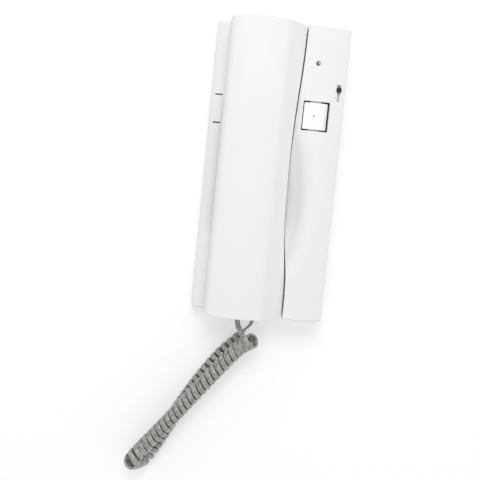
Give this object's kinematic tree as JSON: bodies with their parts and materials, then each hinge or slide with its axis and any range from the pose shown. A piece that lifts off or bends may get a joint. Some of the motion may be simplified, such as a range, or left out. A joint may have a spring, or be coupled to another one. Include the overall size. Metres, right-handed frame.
{
  "type": "door-entry intercom telephone",
  "caption": "Wall intercom telephone on its back: lift-off handset in a cradle, push button, lamp, slide control and a folded curly cord.",
  "frame": {"origin": "centre of the wall plate's back face, under the middle of the phone without its cord", "axes": "+X across the phone from the handset to the panel, +Y from the cord end to the top, +Z out of its face"},
  "size_m": [0.1391, 0.3525, 0.045],
  "materials": {
    "cover_plastic": "satin moulded white",
    "handset_plastic": "satin moulded white",
    "plate_plastic": "matt moulded white",
    "button_plastic": "smooth white",
    "knob_plastic": "matt black",
    "shutter_plastic": "grey strip",
    "lens": "clear light pipe",
    "cord_sheath": "soft grey sheath",
    "board": "green lacquer",
    "screw_steel": "zinc plated",
    "terminal_plastic": "green block",
    "terminal_brass": "plated brass",
    "switch_plastic": "black",
    "switch_steel": "pressed steel",
    "sounder_plastic": "black",
    "spring_steel": "spring wire",
    "socket_plastic": "black",
    "plug_plastic": "clear moulded",
    "lamp_body": "pale chip",
    "capsule_metal": "pressed can",
    "foam": "open foam",
    "boot_rubber": "moulded rubber"
  },
  "bodies": {
    "base": {"wall_plate": "plate_plastic", "front_cover": "cover_plastic", "circuit_board": "board", "board_screws": "screw_steel", "terminal_block": "terminal_plastic", "terminal_screws": "terminal_brass", "push_switch": "switch_plastic", "status_lens": "lens", "status_lamp": "lamp_body", "slide_switch": "switch_steel", "call_sounder": "sounder_plastic", "hook_switch": "switch_plastic", "hook_spring": "spring_steel", "base_socket": "socket_plastic", "base_plug": "plug_plastic", "curly_cord": "cord_sheath", "cord_handset_tail": "cord_sheath", "cord_base_tail": "cord_sheath"},
    "handset": {"handset_upper_shell": "handset_plastic", "handset_lower_shell": "handset_plastic", "handset_screws": "screw_steel", "receiver_capsule": "capsule_metal", "receiver_foam": "foam", "microphone": "capsule_metal", "microphone_boot": "boot_rubber", "handset_socket": "socket_plastic", "handset_plug": "plug_plastic"},
    "door_button": {"door_button": "button_plastic", "switch_plunger": "switch_plastic"},
    "volume_knob": {"volume_knob": "knob_plastic", "slider_shutter": "shutter_plastic"},
    "hook_plunger": {"hook_plunger": "button_plastic"}
  },
  "joints": [
    {"name": "handset_lift", "type": "slide", "parent": "base", "child": "handset", "axis": [0, 0, 1], "range_m": [0, 0.06]},
    {"name": "hook_rise", "type": "slide", "parent": "base", "child": "hook_plunger", "axis": [0, 0, 1], "range_m": [0, 0.0033], "deforming": ["hook_spring"]},
    {"name": "button_press", "type": "slide", "parent": "base", "child": "door_button", "axis": [0, 0, 1], "range_m": [-0.001, 0], "stiffness_N_per_m": 800, "springref_m": 0.0005},
    {"name": "volume_slide", "type": "slide", "parent": "base", "child": "volume_knob", "axis": [0, 1, 0], "range_m": [-0.0068, 0.0016]}
  ],
  "couplings": [
    {"joint": "hook_rise", "follows": "handset_lift", "ratio": 0.055}
  ]
}
